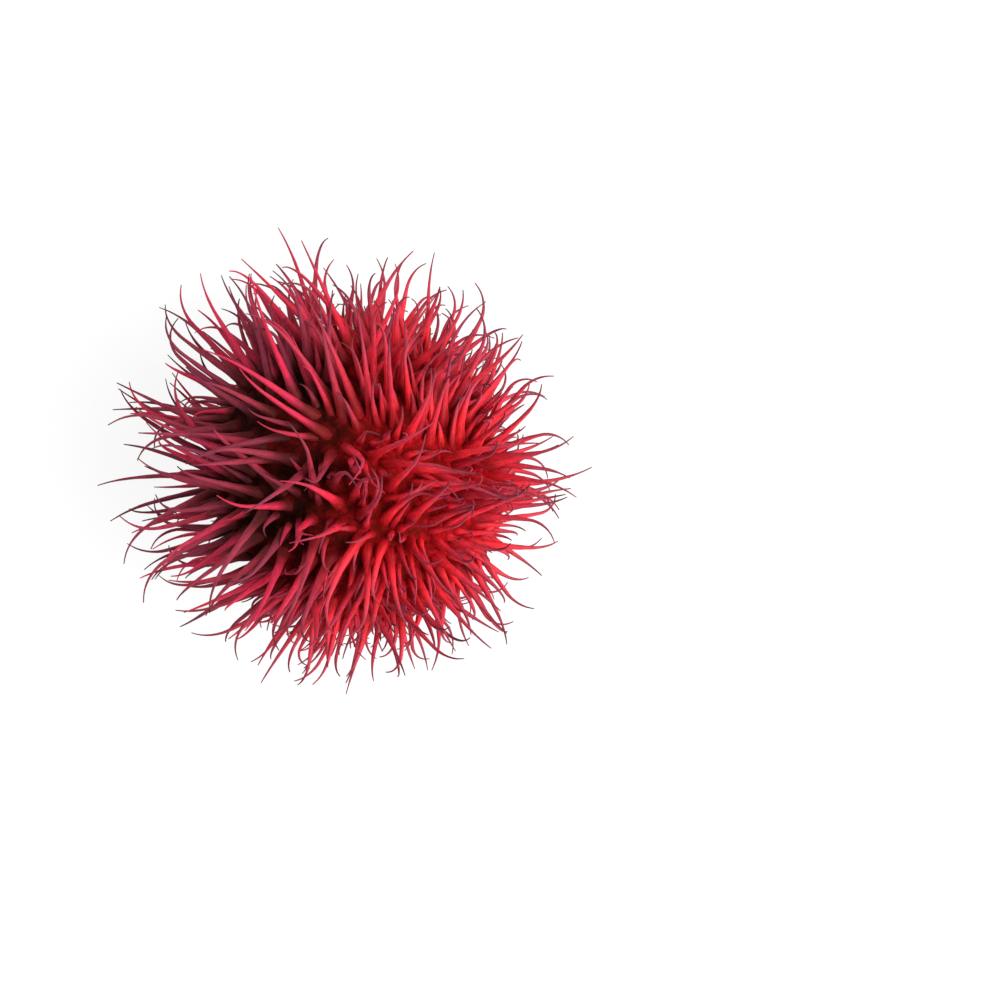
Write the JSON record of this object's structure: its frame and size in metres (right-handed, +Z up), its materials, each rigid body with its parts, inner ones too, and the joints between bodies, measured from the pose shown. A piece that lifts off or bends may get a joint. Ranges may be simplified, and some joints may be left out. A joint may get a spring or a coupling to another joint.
{
  "type": "rambutan",
  "caption": "Whole ripe rambutan lying on its side: a round red fruit covered all over in soft, tapering, curling hairs.",
  "frame": {"origin": "on the surface that the fruit lies on, below the middle of its box", "axes": "+Z up from the surface, +X along the longest extent, on the side of the stem end, which points to +X, -Y and down; the hairs sweep away from it, to -X and +Y"},
  "size_m": [0.0728, 0.0694, 0.0587],
  "materials": {
    "hairy_rind": "matt crimson fruit skin, with darker purple-red hair tips and dull brown-red skin between the hairs"
  },
  "bodies": {
    "root": {"rambutan_fruit": "hairy_rind"}
  },
  "joints": []
}
